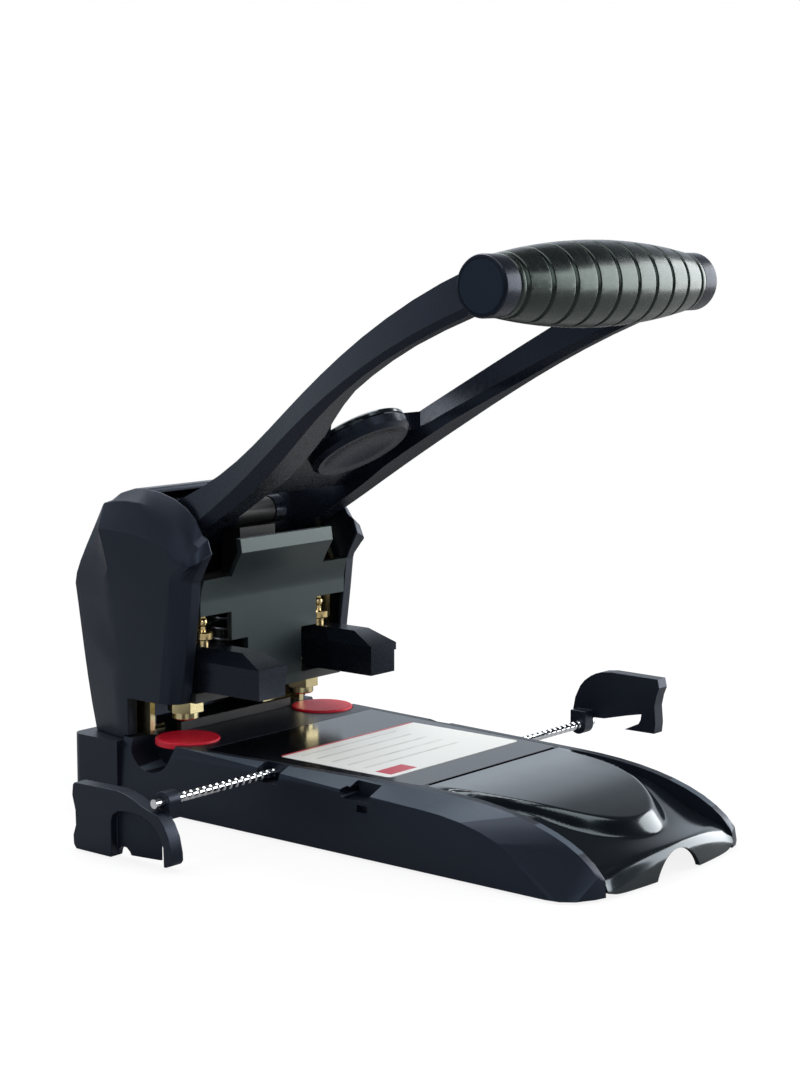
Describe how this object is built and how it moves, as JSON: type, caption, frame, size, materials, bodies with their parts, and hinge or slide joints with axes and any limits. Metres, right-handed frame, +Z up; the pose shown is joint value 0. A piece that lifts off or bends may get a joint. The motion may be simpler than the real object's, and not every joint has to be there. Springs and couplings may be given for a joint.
{
  "type": "heavy duty hole punch",
  "caption": "Desk hole punch with a forked lever handle on a tower, turning cutting discs in its deck, sliding paper guides and a pull-out front drawer.",
  "frame": {"origin": "on the table under the middle between the two cutting discs, in the face of the rubber mat", "axes": "+X to the right of a person who stands in front, +Y from the front to the rear, +Z up"},
  "size_m": [0.2532, 0.3056, 0.2599],
  "materials": {
    "black_shell": "satin moulded black plastic",
    "deck_paint": "smooth black paint on sheet steel",
    "handle_paint": "satin black powder coat",
    "grey_cover": "satin dark grey plastic",
    "gloss_hood": "glossy dark grey plastic",
    "grip_rubber": "glossy ribbed black grip",
    "grip_cap": "satin dark grey plastic",
    "mat_rubber": "matt black rubber",
    "yellow_zinc": "yellow zinc plate",
    "zinc_steel": "clear zinc plate",
    "bright_steel": "ground steel",
    "black_oxide": "black oxide on steel",
    "spring_steel": "drawn spring wire",
    "brass_head": "turned brass",
    "red_disc": "smooth red plastic",
    "chrome_rod": "bright chrome with ring notches"
  },
  "bodies": {
    "base": {"base_shell": "black_shell", "base_plate": "zinc_steel", "base_mat": "mat_rubber", "base_screws": "zinc_steel", "deck_plate": "deck_paint", "paper_stop": "bright_steel", "frame_left": "yellow_zinc", "frame_right": "yellow_zinc", "foot_bolts": "zinc_steel", "lower_bridge": "black_oxide", "bridge_screws": "zinc_steel", "guide_bush_left": "yellow_zinc", "guide_bush_right": "yellow_zinc", "guide_nut_left": "yellow_zinc", "guide_nut_right": "yellow_zinc", "lever_post_left": "brass_head", "lever_post_right": "brass_head", "pivot_shaft": "black_oxide", "shaft_clips": "zinc_steel", "spring_posts": "black_oxide", "return_spring_left": "spring_steel", "return_spring_right": "spring_steel", "side_cover_left": "black_shell", "side_cover_right": "black_shell", "front_cover": "grey_cover", "rear_cover": "black_shell"},
    "handle": {"handle_frame": "handle_paint", "grip_core": "zinc_steel", "grip_sleeve": "grip_rubber", "grip_cap_left": "grip_cap", "grip_cap_right": "grip_cap", "boss_lid": "gloss_hood", "press_roller": "black_oxide", "roller_pin": "black_oxide"},
    "punch_carriage": {"crosshead": "black_oxide", "punch_left": "bright_steel", "punch_right": "bright_steel"},
    "lever_left": {"release_lever_left": "black_shell"},
    "lever_right": {"release_lever_right": "black_shell"},
    "disc_left": {"cutting_disc_left": "red_disc"},
    "disc_right": {"cutting_disc_right": "red_disc"},
    "rod_left": {"guide_rod_left": "chrome_rod"},
    "rod_right": {"guide_rod_right": "chrome_rod"},
    "guide_left": {"paper_guide_left": "black_shell"},
    "guide_right": {"paper_guide_right": "black_shell"},
    "drawer": {"drawer_tray": "gloss_hood", "drawer_hood": "gloss_hood"}
  },
  "joints": [
    {"name": "handle_pivot", "type": "hinge", "parent": "base", "child": "handle", "pos_m": [0, 0.02, 0.128], "axis": [1, 0, 0], "range_deg": [0, 36], "stiffness_Nm_per_rad": 3, "springref_deg": -45.84},
    {"name": "punch_stroke", "type": "slide", "parent": "base", "child": "punch_carriage", "axis": [0, 0, -1], "range_m": [0, 0.01], "deforming": ["return_spring_left", "return_spring_right"]},
    {"name": "lever_left_swing", "type": "hinge", "parent": "base", "child": "lever_left", "pos_m": [-0.04, -0.003, 0.06], "axis": [0, 0, 1], "range_deg": [0, 30]},
    {"name": "lever_right_swing", "type": "hinge", "parent": "base", "child": "lever_right", "pos_m": [0.04, -0.003, 0.06], "axis": [0, 0, 1], "range_deg": [-30, 0]},
    {"name": "disc_left_turn", "type": "hinge", "parent": "base", "child": "disc_left", "pos_m": [-0.0468, 0, 0.03], "axis": [0, 0, 1], "continuous": true},
    {"name": "disc_right_turn", "type": "hinge", "parent": "base", "child": "disc_right", "pos_m": [0.0468, 0, 0.03], "axis": [0, 0, 1], "continuous": true},
    {"name": "rod_left_slide", "type": "slide", "parent": "base", "child": "rod_left", "axis": [1, 0, 0], "range_m": [-0.02, 0.04]},
    {"name": "rod_right_slide", "type": "slide", "parent": "base", "child": "rod_right", "axis": [1, 0, 0], "range_m": [-0.032, 0.028]},
    {"name": "guide_left_swivel", "type": "hinge", "parent": "rod_left", "child": "guide_left", "pos_m": [-0.13, -0.063, 0.0275], "axis": [1, 0, 0], "range_deg": [0, 180]},
    {"name": "guide_right_swivel", "type": "hinge", "parent": "rod_right", "child": "guide_right", "pos_m": [0.121, -0.11, 0.0275], "axis": [1, 0, 0], "range_deg": [-180, 0]},
    {"name": "drawer_pull", "type": "slide", "parent": "base", "child": "drawer", "axis": [0, -1, 0], "range_m": [0, 0.09]}
  ],
  "couplings": [
    {"joint": "punch_stroke", "follows": "handle_pivot", "m_per_rad": 0.0159}
  ]
}
